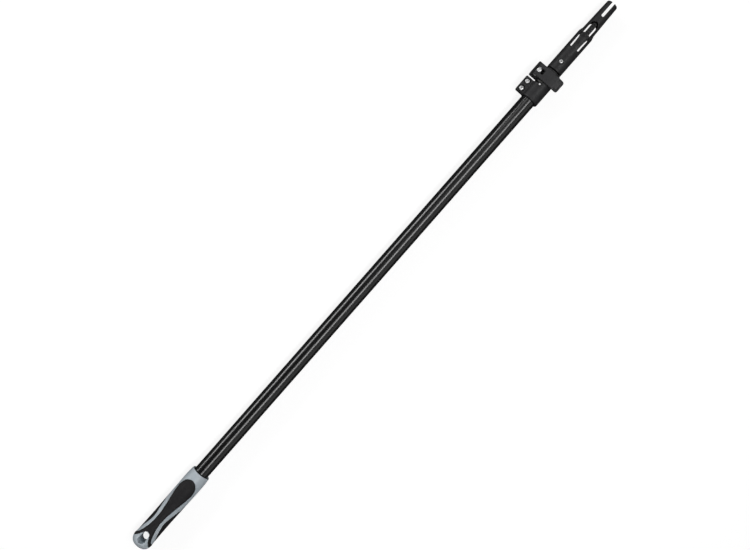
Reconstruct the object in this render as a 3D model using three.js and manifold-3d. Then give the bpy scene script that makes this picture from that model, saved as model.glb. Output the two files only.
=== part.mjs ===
// Telescopic extension pole for paint rollers, closed to its shortest length.
// Millimetres. The pole lies along +X, from the handle's end at x = 0 to the tip, and its axis is y = z = 0
// in the pole's own group. The ears of the clamp point to +Y and the lever lies over the +Z side.
import * as THREE from "three";
import { mergeVertices } from "three/addons/utils/BufferGeometryUtils.js";
import Module from "manifold-3d";

const wasm = await Module();
wasm.setup();

// ---- driving dimensions ----
const GAP = 0.3; // clearance between neighbouring pieces
const ROUND = 36; // facets round a large circle
const SMALL_ROUND = 16; // facets round a small circle
const FAR = 60; // reach of a cutter beyond the object

const POLE_LENGTH = 1145;
const HANDLE = { length: 152.5, kneeX: 12.5, kneeR: 17.05, endR: 6, rimR: 15.9, boreEnd: 36, roll: 5 };
const PAD = { depth: 2, topX: 138.1, sideStart: 25, sideEnd: 88, sideHalf: 11.4 };
const HANG_HOLE = { start: 9, end: 30.5, lowR: 6.4, highR: 5.4, seatHalf: 1.5 };
const OUTER_TUBE = { r: 12.5, wall: 1.2, start: 38, end: 973.5 };
const INNER_TUBE = { r: 11, wall: 1.1, start: 48, end: 1044.5 };
const BUSH = { plugLength: 16, flange: 3.7, boreR: 6 };
const CLAMP = { start: 941.5, length: 59, r: 15.6, chamfer: 0.8, bridgeY: 1 };
const LOWER_EAR = { start: 0, end: 27.3, reach: 28, front: 7, back: -7 };
const UPPER_EAR = { start: 34.7, end: 58.1, reach: 27.5, front: 6, back: -7 };
const EAR = { root: 11, corner: 2.5, split: 2.5, splitRoot: 8 };
const SCREW = { r: 2, headR: 3.75, headHeight: 2.4, y: 21.4, x: [6.7, 21.1], seatR: 5.4, seatZ: 4.4 };
const NUT = { flats: 7, height: 3.2 };
const RIVET = { x: 28.1, angle: 13.2, r: 1.6, bossR: 5.5, seatR: 2.8, seatDepth: 1 };
const LEVER = { start: 33.3, end: 54, tabY: -25.5, top: 19.8, under: 16.2, corner: 2.8 };
const PIVOT = { y: 18.7, z: 13.6, pinR: 3.3 };
const CAM = { r: 5.5, offset: 0.5 };
const BOLT = { x: 43.8, r: 2, headR: 3.5, headHeight: 2.2, end: -12.5, slotWidth: 7.6, slotEnd: 9.9 };
const CAM_PAD = { start: 36, end: 52, y0: 15.2, y1: 24.5, height: 1 };
const TIP = { start: 1001, baseR: 13.25, shoulderX: 78.5, neckX: 85.5, neckR: 11.25, endR: 9.6, socket: 45 };
const TIP_SCREW = { x: 18, angle: 6.5, headR: 3.65, headHeight: 2, reach: 8.5, seatR: 4.3, seatDepth: 0.9 };
const END_SLOT = { width: 4.5, bottom: 115.2 };
const WINDOW = { start: 47.3, rootHalf: 8.6, waistX: 71, waistHalf: 9.3, noseX: 79, noseHalf: 7.05 };
const windowEnd = 103.5;
const ARM = { rootHalf: 5.15, padHalf: 6.25, padX: 71.2, padEnd: 77.4, noseHalf: 3.9, noseEnd: 100.5 };
const armProud = 1.1;

const tipLength = POLE_LENGTH - TIP.start;
const outerBore = OUTER_TUBE.r - OUTER_TUBE.wall;
const innerBore = INNER_TUBE.r - INNER_TUBE.wall;
const bodyBore = OUTER_TUBE.r + GAP;
const degrees = THREE.MathUtils.degToRad;

// ---- solids ----

// A closed three.js geometry as a solid whose faces point out.
function solid(geometry) {
  const bare = geometry.clone();
  bare.deleteAttribute("normal");
  bare.deleteAttribute("uv");
  const merged = mergeVertices(bare, 1e-4);
  const vertProperties = new Float32Array(merged.attributes.position.array);
  const triVerts = new Uint32Array(merged.index.array);
  const made = new wasm.Manifold(new wasm.Mesh({ numProp: 3, vertProperties, triVerts }));
  if (made.volume() > 0) return made;
  triVerts.reverse();
  return new wasm.Manifold(new wasm.Mesh({ numProp: 3, vertProperties, triVerts }));
}

function geometryOf(made) {
  const { vertProperties, triVerts } = made.getMesh();
  const geometry = new THREE.BufferGeometry();
  geometry.setAttribute("position", new THREE.BufferAttribute(vertProperties, 3));
  geometry.setIndex(new THREE.BufferAttribute(triVerts, 1));
  geometry.computeVertexNormals();
  return geometry;
}

// Turns a profile of [x, radius] pairs round the X axis.
function turned(profile, facets = ROUND) {
  const points = profile.map(([x, r]) => new THREE.Vector2(r, x));
  if (profile[0][1] > 0) points.push(points[0].clone());
  return solid(new THREE.LatheGeometry(points, facets).rotateZ(-Math.PI / 2));
}

function ring(x0, x1, outer, inner, facets = ROUND) {
  return turned([[x0, outer], [x1, outer], [x1, inner], [x0, inner]], facets);
}

function rod(x0, x1, r, facets = ROUND) {
  return turned([[x0, 0], [x0, r], [x1, r], [x1, 0]], facets);
}

// An outline in X and Y, from z0 up to z1.
function slab(shape, z0, z1, curveSegments = 9) {
  const settings = { depth: z1 - z0, bevelEnabled: false, curveSegments };
  return solid(new THREE.ExtrudeGeometry(shape, settings).translate(0, 0, z0));
}

// An outline in Y and Z, from x0 to x1.
function barAlongX(shape, x0, x1, curveSegments = 12) {
  const settings = { depth: x1 - x0, bevelEnabled: false, curveSegments };
  const basis = new THREE.Matrix4().set(0, 0, 1, x0, 1, 0, 0, 0, 0, 1, 0, 0, 0, 0, 0, 1);
  return solid(new THREE.ExtrudeGeometry(shape, settings).applyMatrix4(basis));
}

function box(x0, x1, y0, y1, z0, z1) {
  const geometry = new THREE.BoxGeometry(x1 - x0, y1 - y0, z1 - z0);
  return solid(geometry.translate((x0 + x1) / 2, (y0 + y1) / 2, (z0 + z1) / 2));
}

// A round peg along Z; six facets make a hexagon.
function peg(x, y, z0, z1, r, facets = SMALL_ROUND) {
  const geometry = new THREE.CylinderGeometry(r, r, z1 - z0, facets).rotateX(Math.PI / 2);
  return solid(geometry.translate(x, y, (z0 + z1) / 2));
}

function hexagon(x, y, z0, z1, flats) {
  return peg(x, y, z0, z1, flats / Math.sqrt(3), 6);
}

// A peg that points away from the pole's axis, leaning `angle` degrees from +Z towards +Y.
function radialPeg(x, angle, r0, r1, r, facets = SMALL_ROUND) {
  return peg(x, 0, r0, r1, r, facets).rotate([-angle, 0, 0]);
}

// A smooth curve through points, as `pieces` chords.
function smooth(points, pieces) {
  return new THREE.SplineCurve(points.map(([x, y]) => new THREE.Vector2(x, y))).getPoints(pieces);
}

// The outline with `side` as its half where y > 0, mirrored across y = 0.
function mirrored(side) {
  const other = side.slice(1, -1).reverse().map((p) => new THREE.Vector2(p.x, -p.y));
  return new THREE.Shape([...side, ...other]);
}

// A rectangle in X and Y whose corners on the far side are rounded.
function roundedTab(x0, x1, yNear, yFar, r) {
  const turn = Math.sign(yFar - yNear) * r;
  const shape = new THREE.Shape();
  shape.moveTo(x0, yNear);
  shape.lineTo(x0, yFar - turn);
  shape.quadraticCurveTo(x0, yFar, x0 + r, yFar);
  shape.lineTo(x1 - r, yFar);
  shape.quadraticCurveTo(x1, yFar, x1, yFar - turn);
  shape.lineTo(x1, yNear);
  return shape;
}

// ---- scene graph ----

function add(group, name, made, { color, roughness = 0.5, metalness = 0 }) {
  const material = new THREE.MeshStandardMaterial({ color, roughness, metalness });
  const mesh = new THREE.Mesh(geometryOf(made), material);
  mesh.name = name;
  group.add(mesh);
}

function subGroup(parent, x = 0) {
  const group = new THREE.Group();
  group.position.x = x;
  parent.add(group);
  return group;
}

const GREY_PLASTIC = { color: 0xb7bfc6, roughness: 0.5 };
const BLACK_RUBBER = { color: 0x2a2a2c, roughness: 0.8 };
const BLACK_METAL = { color: 0x101012, roughness: 0.3, metalness: 0.6 };
const BLACK_PLASTIC = { color: 0x26272a, roughness: 0.55 };
const BARE_METAL = { color: 0xb0b0aa, roughness: 0.35, metalness: 1 };
const STEEL = { color: 0xc8c8c8, roughness: 0.3, metalness: 1 };
const NYLON = { color: 0xd8d6cc, roughness: 0.6 };

// ---- handle ----

// The handle's outer curve as [x, radius], from the end knob's widest ring to the rim.
const sideCurve = [
  [HANDLE.kneeX, HANDLE.kneeR],
  [25, 16.3],
  [60, 16],
  [95, 16.5],
  [125, 16.9],
  [140, 16.8],
  [HANDLE.length, HANDLE.rimR],
];
const sideProfile = smooth(sideCurve, 10).map((p) => [p.x, p.y]);

function knobProfile() {
  const { kneeX, kneeR, endR } = HANDLE;
  const curve = new THREE.CubicBezierCurve(
    new THREE.Vector2(0, endR),
    new THREE.Vector2(0, endR + 6),
    new THREE.Vector2(kneeX * 0.4, kneeR),
    new THREE.Vector2(kneeX, kneeR),
  );
  return curve.getPoints(4).map((p) => [p.x, p.y]);
}

const outerProfile = [[0, 0], ...knobProfile(), ...sideProfile.slice(1)];

// The layer of the handle between `above` its surface and `below` it, from the knob to near the rim.
function skin(above, below) {
  const stretch = outerProfile.filter(([x]) => x > 3 && x < HANDLE.length - 4);
  const outside = stretch.map(([x, r]) => [x, r + above]);
  const inside = stretch.map(([x, r]) => [x, r - below]).reverse();
  return turned([...outside, ...inside]);
}

// The front pad's outline: a keyhole whose foot splits into two legs round the end knob.
function mainPadOutline(grow) {
  const keyhole = [
    [PAD.topX, 0],
    [136, 6],
    [129, 11.5],
    [118, 13.7],
    [104, 12.2],
    [94, 10.4],
    [85, 8.5],
    [75, 6.9],
    [65, 5.9],
    [55, 5.6],
    [45, 6.3],
    [35, 8.3],
    [28, 10.6],
    [21, 14],
    [14.5, 18.6],
  ];
  const arch = [
    [10.8, 18.6],
    [13.5, 15.2],
    [20, 10.2],
    [27, 6.2],
    [30.8, 3],
    [32.1, 0],
  ];
  const outward = keyhole.map(([x, y], i) => [x + (i < 3 ? grow : 0), y + (i > 0 ? grow : 0)]);
  const inward = arch.map(([x, y]) => [x - grow, y]);
  return mirrored([...smooth(outward, 18), ...smooth(inward, 7)]);
}

// The side pad's outline: a long lens.
function sidePadOutline(grow) {
  const middle = (PAD.sideStart + PAD.sideEnd) / 2 - 2;
  const lens = [
    [PAD.sideStart - grow, 0],
    [PAD.sideStart + 9, PAD.sideHalf * 0.62 + grow],
    [middle, PAD.sideHalf + grow],
    [PAD.sideEnd - 13, PAD.sideHalf * 0.55 + grow],
    [PAD.sideEnd + grow, 0],
  ];
  return mirrored(smooth(lens, 10));
}

// The column above an outline, on the side of the handle that `side` names.
function padColumn(side, grow) {
  if (side === "front" || side === "back") {
    const start = grow ? -0.5 : GAP / 2;
    const column = slab(mainPadOutline(grow), start, FAR);
    return side === "front" ? column : column.rotate([180, 0, 0]);
  }
  const column = slab(sidePadOutline(grow), 1, FAR);
  return column.rotate([side === "left" ? -90 : 90, 0, 0]);
}

// The hanging hole's outline, with a narrow flat where it bears on a hook.
function hangHoleOutline() {
  const { start, end, lowR, highR, seatHalf } = HANG_HOLE;
  const flat = Math.asin(seatHalf / lowR);
  const shape = new THREE.Shape();
  shape.absarc(start + lowR, 0, lowR, Math.PI / 2, Math.PI - flat, false);
  shape.absarc(start + lowR, 0, lowR, Math.PI + flat, (3 * Math.PI) / 2, false);
  shape.absarc(end - highR, 0, highR, -Math.PI / 2, Math.PI / 2, false);
  return shape;
}

function handle(pole) {
  const group = subGroup(pole);
  group.rotation.x = -degrees(HANDLE.roll);
  const sides = ["front", "back", "left", "right"];
  const bore = [[HANDLE.length, bodyBore], [HANDLE.boreEnd, bodyBore], [HANDLE.boreEnd, 0]];
  const hole = slab(hangHoleOutline(), -FAR, FAR, 4);
  const pocketLayer = skin(2, PAD.depth + GAP);
  const pockets = sides.map((side) => pocketLayer.intersect(padColumn(side, GAP)));
  const blank = turned([...outerProfile, ...bore]).subtract(hole);
  const core = pockets.reduce((left, pocket) => left.subtract(pocket), blank);
  add(group, "handle_core", core, GREY_PLASTIC);
  const padLayer = skin(0, PAD.depth);
  for (const side of sides) {
    const pad = padLayer.intersect(padColumn(side, 0));
    add(group, `grip_pad_${side}`, pad, BLACK_RUBBER);
  }
}

// ---- tubes ----

function tubes(pole) {
  const rivetHole = radialPeg(CLAMP.start + RIVET.x, RIVET.angle, 5, FAR, RIVET.r + GAP);
  const outer = ring(OUTER_TUBE.start, OUTER_TUBE.end, OUTER_TUBE.r, outerBore).subtract(rivetHole);
  add(pole, "outer_tube", outer, BLACK_METAL);
  const screwHole = radialPeg(TIP.start + TIP_SCREW.x, TIP_SCREW.angle, 5, FAR, SCREW.r + GAP);
  const inner = ring(INNER_TUBE.start, INNER_TUBE.end, INNER_TUBE.r, innerBore).subtract(screwHole);
  add(pole, "inner_tube", inner, BARE_METAL);
}

// The bush closes the inner tube's lower end and runs in the outer tube's bore.
function guideBush(pole) {
  const group = subGroup(pole, INNER_TUBE.start);
  const profile = [
    [-GAP - BUSH.flange, BUSH.boreR],
    [-GAP - BUSH.flange, INNER_TUBE.r - 0.5],
    [-BUSH.flange, INNER_TUBE.r],
    [-GAP, INNER_TUBE.r],
    [-GAP, innerBore - GAP],
    [BUSH.plugLength, innerBore - GAP],
    [BUSH.plugLength, BUSH.boreR],
  ];
  add(group, "guide_bush", turned(profile), NYLON);
}

// ---- clamp ----

function ear({ start, end, reach, front, back }) {
  return slab(roundedTab(start, end, EAR.root, reach, EAR.corner), back, front, 4);
}

// The sleeve with both pairs of ears, before any cut.
function clampBlank() {
  const { length, r, chamfer } = CLAMP;
  const sleeve = turned([
    [0, 0],
    [0, r - chamfer],
    [chamfer, r],
    [length - chamfer, r],
    [length, r - chamfer],
    [length, 0],
  ]);
  return sleeve.add(ear(LOWER_EAR)).add(ear(UPPER_EAR));
}

// The cross slit that frees the jaw; a round boss for the rivet stands into it.
function slit() {
  const { x, angle, bossR } = RIVET;
  const cut = box(LOWER_EAR.end, UPPER_EAR.start, CLAMP.bridgeY, FAR, -FAR, FAR);
  const boss = radialPeg(x, angle, 5, FAR, bossR).intersect(box(0, UPPER_EAR.start - 0.8, -FAR, FAR, 0, FAR));
  return cut.subtract(boss);
}

// Seats and holes of the two collar screws, with hexagon pockets for their nuts.
function screwCuts(x) {
  const seat = peg(x, SCREW.y, SCREW.seatZ, FAR, SCREW.seatR);
  const hole = peg(x, SCREW.y, -FAR, FAR, SCREW.r + GAP);
  const pocket = hexagon(x, SCREW.y, -FAR, LOWER_EAR.back + NUT.height + GAP, NUT.flats + 2 * GAP);
  return seat.add(hole).add(pocket);
}

function clampBody(group) {
  const bore = rod(-1, CLAMP.length + 1, bodyBore);
  const split = box(-1, CLAMP.length + 1, EAR.splitRoot, FAR, -EAR.split / 2, EAR.split / 2);
  const rivetHole = radialPeg(RIVET.x, RIVET.angle, 5, FAR, RIVET.r + GAP);
  const rivetSeat = radialPeg(RIVET.x, RIVET.angle, CLAMP.r - RIVET.seatDepth, FAR, RIVET.seatR);
  const boltHole = peg(BOLT.x, PIVOT.y, -FAR, FAR, BOLT.r + GAP);
  const cuts = [slit(), bore, split, rivetHole, rivetSeat, boltHole, ...SCREW.x.map(screwCuts)];
  const body = cuts.reduce((left, cut) => left.subtract(cut), clampBlank());
  add(group, "clamp_body", body, BLACK_PLASTIC);
}

function collarFasteners(group) {
  const headBase = SCREW.seatZ + GAP;
  SCREW.x.forEach((x, i) => {
    const place = ["lower", "upper"][i];
    const shank = peg(x, SCREW.y, LOWER_EAR.back + 0.4, headBase + 0.1, SCREW.r);
    const head = peg(x, SCREW.y, headBase, headBase + SCREW.headHeight, SCREW.headR);
    add(group, `collar_screw_${place}`, shank.add(head), STEEL);
    const nut = hexagon(x, SCREW.y, LOWER_EAR.back, LOWER_EAR.back + NUT.height, NUT.flats);
    const thread = peg(x, SCREW.y, -FAR, FAR, SCREW.r + GAP);
    add(group, `collar_nut_${place}`, nut.subtract(thread), STEEL);
  });
  const rivet = radialPeg(RIVET.x, RIVET.angle, outerBore + 0.1, CLAMP.r - 0.4, RIVET.r);
  add(group, "collar_rivet", rivet, STEEL);
}

// A split sleeve between the jaw and the inner tube.
function jawLiner(group) {
  const sleeve = ring(UPPER_EAR.start + 0.8, CLAMP.length - GAP, bodyBore - GAP, INNER_TUBE.r + GAP);
  const split = box(0, CLAMP.length, 0, FAR, -EAR.split / 2, EAR.split / 2);
  add(group, "jaw_liner", sleeve.subtract(split), NYLON);
}

// The lever's section across the pole: a flat plate that drops to the finger tab, with a cam at the pivot.
function leverSection() {
  const { tabY, top, under } = LEVER;
  const section = new THREE.Shape();
  section.moveTo(14, top);
  section.lineTo(-4, top);
  section.bezierCurveTo(-14, top, -20, top - 1.2, tabY + 0.8, top - 2.9);
  section.quadraticCurveTo(tabY, top - 3.2, tabY, top - 4);
  section.lineTo(tabY, top - 5.6);
  section.quadraticCurveTo(tabY, top - 6.4, tabY + 1.2, top - 6.2);
  section.bezierCurveTo(-19, under - 1.6, -13, under, -4, under);
  section.lineTo(10, under);
  section.lineTo(12.6, 13);
  section.absarc(PIVOT.y - CAM.offset, PIVOT.z - CAM.offset, CAM.r, degrees(195), degrees(440), false);
  return section;
}

function clampLever(group) {
  const { start, end, tabY, corner } = LEVER;
  const outline = slab(roundedTab(start, end, FAR, tabY, corner), 0, FAR, 5);
  const slot = box(BOLT.x - BOLT.slotWidth / 2, BOLT.x + BOLT.slotWidth / 2, BOLT.slotEnd, FAR, 0, FAR);
  const pinHole = alongPivot(0, CLAMP.length, PIVOT.pinR + GAP);
  const lever = barAlongX(leverSection(), start, end).intersect(outline).subtract(slot).subtract(pinHole);
  add(group, "clamp_lever", lever, BLACK_PLASTIC);
}

// A round bar on the lever's pivot axis.
function alongPivot(x0, x1, r) {
  return rod(x0, x1, r, SMALL_ROUND).translate([0, PIVOT.y, PIVOT.z]);
}

// Barrel pin, cam pad, tension bolt, washer and nut: what the lever pulls the jaw shut with.
function tensionGear(group) {
  const flatZ = PIVOT.z + 2.3;
  const headBase = flatZ + GAP;
  const flat = box(BOLT.x - 4, BOLT.x + 4, 0, FAR, flatZ, FAR);
  const throughHole = peg(BOLT.x, PIVOT.y, -FAR, FAR, BOLT.r + GAP);
  const pin = alongPivot(LEVER.start + 0.6, LEVER.end - 0.6, PIVOT.pinR).subtract(flat).subtract(throughHole);
  add(group, "barrel_pin", pin, STEEL);

  const padBase = UPPER_EAR.front + GAP;
  const pad = box(CAM_PAD.start, CAM_PAD.end, CAM_PAD.y0, CAM_PAD.y1, padBase, padBase + CAM_PAD.height);
  add(group, "cam_pad", pad.subtract(throughHole), STEEL);

  const shank = peg(BOLT.x, PIVOT.y, BOLT.end, headBase + 0.1, BOLT.r);
  const head = peg(BOLT.x, PIVOT.y, headBase, headBase + BOLT.headHeight, BOLT.headR);
  add(group, "tension_bolt", shank.add(head), STEEL);

  const washerTop = UPPER_EAR.back - GAP;
  const washer = peg(BOLT.x, PIVOT.y, washerTop - 0.8, washerTop, 4.5).subtract(throughHole);
  add(group, "tension_washer", washer, STEEL);
  const nutTop = washerTop - 0.8 - GAP;
  const nut = hexagon(BOLT.x, PIVOT.y, nutTop - NUT.height, nutTop, NUT.flats).subtract(throughHole);
  add(group, "tension_nut", nut, STEEL);
}

function clamp(pole) {
  const group = subGroup(pole, CLAMP.start);
  clampBody(group);
  collarFasteners(group);
  jawLiner(group);
  clampLever(group);
  tensionGear(group);
}

// ---- tip ----

// The window in the front and back walls that the latch arm lies in.
function windowOutline() {
  const { start, rootHalf, waistX, waistHalf, noseX, noseHalf } = WINDOW;
  const waist = [
    [waistX - 6, waistHalf - 0.1],
    [waistX, waistHalf],
    [noseX, noseHalf],
    [noseX + 6, noseHalf],
  ];
  const side = smooth(waist, 8);
  const shape = new THREE.Shape();
  shape.moveTo(start, 0);
  shape.lineTo(start, rootHalf - 1.6);
  shape.quadraticCurveTo(start, rootHalf, start + 1.6, rootHalf);
  side.forEach((p) => shape.lineTo(p.x, p.y));
  shape.absarc(windowEnd - noseHalf, 0, noseHalf, Math.PI / 2, -Math.PI / 2, true);
  side.reverse().forEach((p) => shape.lineTo(p.x, -p.y));
  shape.lineTo(start + 1.6, -rootHalf);
  shape.quadraticCurveTo(start, -rootHalf, start, -rootHalf + 1.6);
  return shape;
}

// The latch arm from above: a thumb pad that widens to a round end, then a narrow nose.
function armOutline() {
  const { rootHalf, padHalf, padX, noseHalf, noseEnd } = ARM;
  const start = WINDOW.start + GAP;
  const meet = Math.asin(noseHalf / padHalf);
  const shape = new THREE.Shape();
  shape.moveTo(start, -rootHalf);
  shape.lineTo(padX, -padHalf);
  shape.absarc(padX, 0, padHalf, -Math.PI / 2, -meet, false);
  shape.absarc(noseEnd - noseHalf, 0, noseHalf, -Math.PI / 2, Math.PI / 2, false);
  shape.absarc(padX, 0, padHalf, meet, Math.PI / 2, false);
  shape.lineTo(start, rootHalf);
  return shape;
}

// The tip's outer surface as [x, radius].
function tipOutside() {
  return [
    [0, TIP.baseR - 0.5],
    [0.5, TIP.baseR],
    [TIP.shoulderX, TIP.baseR],
    [TIP.neckX, TIP.neckR],
    [tipLength - 1, TIP.endR],
    [tipLength, TIP.endR - 0.8],
  ];
}

function tipBody(group) {
  const inside = [
    [tipLength, 6.6],
    [TIP.neckX, 8.2],
    [TIP.shoulderX, 10.2],
    [TIP.socket, 10.2],
    [TIP.socket, INNER_TUBE.r + GAP],
    [0, INNER_TUBE.r + GAP],
  ];
  const slotBottom = END_SLOT.bottom + END_SLOT.width / 2;
  const endSlot = box(slotBottom, FAR + tipLength, -END_SLOT.width / 2, END_SLOT.width / 2, -FAR, FAR)
    .add(peg(slotBottom, 0, -FAR, FAR, END_SLOT.width / 2));
  const window = slab(windowOutline(), -FAR, FAR, 9);
  const screwHole = radialPeg(TIP_SCREW.x, TIP_SCREW.angle, 5, FAR, SCREW.r + GAP);
  const seatR = TIP.baseR - TIP_SCREW.seatDepth;
  const screwSeat = radialPeg(TIP_SCREW.x, TIP_SCREW.angle, seatR, FAR, TIP_SCREW.seatR);
  const blank = turned([...tipOutside(), ...inside]);
  const body = [window, endSlot, screwHole, screwSeat].reduce((left, cut) => left.subtract(cut), blank);
  add(group, "tip_body", body, BLACK_PLASTIC);
}

// Both arms flex inwards at their root; the thumb pad's end stands proud of the tip and the nose lies lower.
function latchArms(group) {
  const section = turned([
    [WINDOW.start, TIP.baseR],
    [ARM.padX - 6, TIP.baseR],
    [ARM.padX + 3, TIP.baseR + armProud],
    [ARM.padEnd - 0.8, TIP.baseR + armProud * 0.7],
    [ARM.padEnd + 0.2, 10],
    [ARM.noseEnd, 9.4],
    [ARM.noseEnd, 7.6],
    [ARM.padEnd, 8.2],
    [ARM.padX - 3, 10.4],
    [WINDOW.start, 10.4],
  ]);
  const front = section.intersect(slab(armOutline(), 3, FAR, 5));
  add(group, "latch_arm_front", front, BLACK_PLASTIC);
  add(group, "latch_arm_back", front.rotate([180, 0, 0]), BLACK_PLASTIC);
}

function tipScrew(group) {
  const { x, angle, headR, headHeight, reach, seatDepth } = TIP_SCREW;
  const headBase = TIP.baseR - seatDepth + GAP;
  const shank = radialPeg(x, angle, reach, headBase + 0.1, SCREW.r);
  const head = radialPeg(x, angle, headBase, headBase + headHeight, headR);
  add(group, "tip_screw", shank.add(head), STEEL);
}

function tip(pole) {
  const group = subGroup(pole, TIP.start);
  tipBody(group);
  latchArms(group);
  tipScrew(group);
}

// ---- the pole, lying on the ground ----

const pole = new THREE.Group();
pole.position.set(-POLE_LENGTH / 2, 0, HANDLE.kneeR);
handle(pole);
tubes(pole);
guideBush(pole);
clamp(pole);
tip(pole);

export default pole;
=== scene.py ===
"""The looks of a closed roller extension pole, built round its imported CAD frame.

Meshes are made in the pole's own millimetres: x runs from the handle's end towards the tip, and y = z = 0 is
the pole's axis. The clamp's ears point to +Y and its lever lies over the +Z side.
"""
import math

import bmesh
import bpy
import numpy as np
from mathutils import Matrix, Vector


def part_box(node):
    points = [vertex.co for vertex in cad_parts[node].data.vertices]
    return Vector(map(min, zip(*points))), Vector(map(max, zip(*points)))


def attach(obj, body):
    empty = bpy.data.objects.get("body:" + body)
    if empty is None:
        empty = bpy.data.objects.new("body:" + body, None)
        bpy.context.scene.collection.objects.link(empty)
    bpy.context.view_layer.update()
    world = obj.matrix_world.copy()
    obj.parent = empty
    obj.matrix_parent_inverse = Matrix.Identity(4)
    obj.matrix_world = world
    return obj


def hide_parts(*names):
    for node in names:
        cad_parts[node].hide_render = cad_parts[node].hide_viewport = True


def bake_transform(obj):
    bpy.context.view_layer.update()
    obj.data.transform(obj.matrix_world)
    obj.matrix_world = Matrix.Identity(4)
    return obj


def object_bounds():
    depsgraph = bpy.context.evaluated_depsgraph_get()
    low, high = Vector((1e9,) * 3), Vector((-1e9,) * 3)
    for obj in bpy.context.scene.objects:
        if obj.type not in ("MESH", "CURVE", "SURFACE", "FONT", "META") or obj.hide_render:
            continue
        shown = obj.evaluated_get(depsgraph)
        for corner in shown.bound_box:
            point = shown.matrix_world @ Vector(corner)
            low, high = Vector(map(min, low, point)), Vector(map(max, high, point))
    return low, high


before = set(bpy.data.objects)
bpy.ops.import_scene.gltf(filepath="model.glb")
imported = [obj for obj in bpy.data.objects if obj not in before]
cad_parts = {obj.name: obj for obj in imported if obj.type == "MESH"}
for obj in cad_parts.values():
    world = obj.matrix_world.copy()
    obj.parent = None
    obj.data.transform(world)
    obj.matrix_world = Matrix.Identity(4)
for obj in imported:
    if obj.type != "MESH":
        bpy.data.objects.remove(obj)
CAD_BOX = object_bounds()


def pole_origin():
    """The middle of the handle's end, in the row frame."""
    low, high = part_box("outer_tube")
    return Vector((CAD_BOX[0].x, (low.y + high.y) / 2, (low.z + high.z) / 2))


ORIGIN = pole_origin()


def start_of(node):
    """How far along the pole a CAD node starts, in millimetres."""
    return (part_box(node)[0].x - ORIGIN.x) * 1000


def end_of(node):
    """How far along the pole a CAD node ends, in millimetres."""
    return (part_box(node)[1].x - ORIGIN.x) * 1000


# ---- dimensions, in millimetres ----
# Along the pole, the clamp's sizes count from CLAMP_START and the tip's from TIP_START.

GAP = 0.3  # clearance between neighbouring pieces
FAR = 60  # reach of a cutter beyond the object
SIDES = 128  # facets round a large circle
SMALL_SIDES = 48  # facets round a small circle

HANDLE = dict(length=end_of("handle_core"), knee_x=12.5, knee_r=17.05, end_r=6, rim_r=15.9, bore_end=36)
HANDLE_ROLL = 4  # degrees
HANDLE_SIDES = 240  # facets round the handle
HANDLE_STEP, PAD_STEP = 0.45, 0.42  # grid steps along the handle and along its pads
HANDLE_MEAN_R = 16.5  # the radius at which the handle's surface is unrolled
PAD_REACH = (9, 140)  # where the pads' grid starts and ends
PAD = dict(depth=1.5, proud=0.12, round=0.7, edge=0.25, groove=0.75, groove_depth=1.7)
HANG_HOLE = dict(start=8.4, end=30.5, low_r=6.6, high_r=5.4, rim=0.9)
TUBE_R, TUBE_WALL = 12.5, 1.2
INNER_R, INNER_WALL = 11, 1.1
BODY_BORE = TUBE_R + GAP

CLAMP_START = start_of("clamp_body")
CLAMP = dict(length=59, r=15.6, chamfer=1, bridge_y=1)
LOWER_EAR = dict(x0=0.8, x1=27.8, reach=28, front=7, back=-7)
UPPER_EAR = dict(x0=33.3, x1=58.6, reach=27.5, front=6, back=-7)
EAR = dict(root=11, corner=2.7, split=2.5, split_root=8)
SCREW = dict(r=2, head_r=3.8, height=2.9, y=21.4, xs=(6.7, 21.1), seat_r=5.3, seat_z=3.5)
NUT = dict(flats=7, height=3.2)
RIVET = dict(x=28.1, angle=13.2, r=1.6, boss_r=4.5, seat_r=3.2, seat_depth=2)
LEVER = dict(x0=33.3, x1=54, tab_y=-25.1, top=19.8, under=16.2, corner=4.2)
PIVOT = dict(y=18.7, z=13.6, r=3.3)
CAM = dict(r=5.5, offset=0.5)
BOLT = dict(x=43.8, r=2, head_r=3.75, height=2.2, end=-12.5, slot=8.2, slot_end=9.9)
CAM_PAD = dict(x0=36, x1=52, y0=15.2, y1=22.3, height=1)
BARREL_PIN = dict(inset=0.6, flat=2.3, flat_half=4, waist_half=4.2, web_half=1.8, web_top=1)
WASHER = dict(r=4.5, height=0.8)

TIP_START = start_of("tip_body")
TIP = dict(length=end_of("tip_body") - TIP_START, base_r=13.25, shoulder_x=78.5, neck_x=85.5, neck_r=11.25,
           end_r=9.6, socket=45)
TIP_SCREW = dict(x=18, angle=6.5, head_r=3.2, height=2, seat_r=4.3, seat_depth=0.9)
END_SLOT = dict(width=4.5, bottom=115.2)
NECK = dict(start=-1.2, end=1.9, r=11.95)  # the tip's neck between the clamp's mouth and the tip, coloured near-black as painted shade for the shadow in the gap there
WINDOW = dict(x0=47.3, x1=103.5, root=8.4, waist_x=73, waist=8.75, nose_x=80.5, nose=6.45)
ARM = dict(root=5.9, pad=8.15, pad_x=73.5, pad_end=78.6, nose_start=81.4, nose=4.1, nose_end=100.5, proud=0.9)
NOSE_GROOVES = dict(xs=(85, 88.9, 92.9, 96.8), r=10.9, width=1.5, depth=2.2)
THUMB_GROOVES = dict(low_xs=(56, 64), high_xs=(68, 77), pitch=2.1, width=0.8, depth=0.4)


# ---- outlines ----


def spline(points, pieces):
    """A Catmull-Rom curve through points, with that many chords."""
    p = np.array(points, float)
    made = []
    for t in np.linspace(0, len(p) - 1, pieces + 1):
        i = min(int(t), len(p) - 2)
        u = t - i
        a, b, c, d = p[max(i - 1, 0)], p[i], p[i + 1], p[min(i + 2, len(p) - 1)]
        tangent_b, tangent_c = (c - a) / 2, (d - b) / 2
        made.append(
            (2 * u**3 - 3 * u**2 + 1) * b
            + (u**3 - 2 * u**2 + u) * tangent_b
            + (3 * u**2 - 2 * u**3) * c
            + (u**3 - u**2) * tangent_c
        )
    return np.array(made)


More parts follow.
